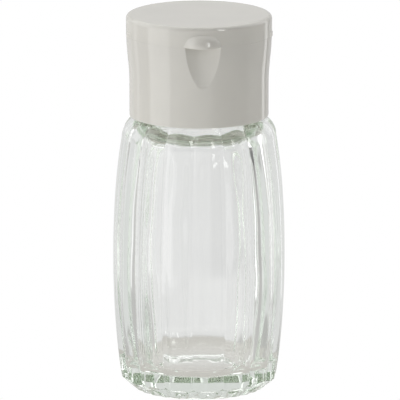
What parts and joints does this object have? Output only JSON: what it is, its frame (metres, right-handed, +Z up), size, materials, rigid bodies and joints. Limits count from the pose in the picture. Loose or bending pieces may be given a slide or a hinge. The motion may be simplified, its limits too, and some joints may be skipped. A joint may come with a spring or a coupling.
{
  "type": "spice shaker",
  "caption": "Barrel-shaped fluted glass jar with a flared screw-on plastic cap, a sifter plate and a full-width flip lid with a thumb tab over a recess.",
  "frame": {"origin": "centre of the jar's foot, on the surface it stands on", "axes": "+Z up along the jar's axis; the thumb tab faces -Y and the hinge is on the +Y side"},
  "size_m": [0.0448, 0.0448, 0.0986],
  "materials": {
    "glass": "clear, faintly green",
    "cap_plastic": "glossy light warm grey",
    "insert_plastic": "satin, a little paler than the cap",
    "seal": "soft, matte"
  },
  "bodies": {
    "jar": {"glass_jar": "glass"},
    "liner": {"rim_gasket": "seal"},
    "cap": {"cap_body": "cap_plastic", "sifter_insert": "insert_plastic"},
    "lid": {"flip_lid": "cap_plastic"}
  },
  "joints": [
    {"name": "cap_lift", "type": "slide", "parent": "jar", "child": "liner", "axis": [0, 0, 1], "range_m": [0, 0.017]},
    {"name": "cap_unscrew", "type": "hinge", "parent": "liner", "child": "cap", "pos_m": [0, 0, 0.0884], "axis": [0, 0, 1], "range_deg": [0, 1440]},
    {"name": "lid_hinge", "type": "hinge", "parent": "cap", "child": "lid", "pos_m": [0, 0.0209, 0.09285], "axis": [-1, 0, 0], "range_deg": [0, 180]}
  ],
  "couplings": [
    {"joint": "cap_lift", "follows": "cap_unscrew", "m_per_rad": 0.0006738}
  ]
}
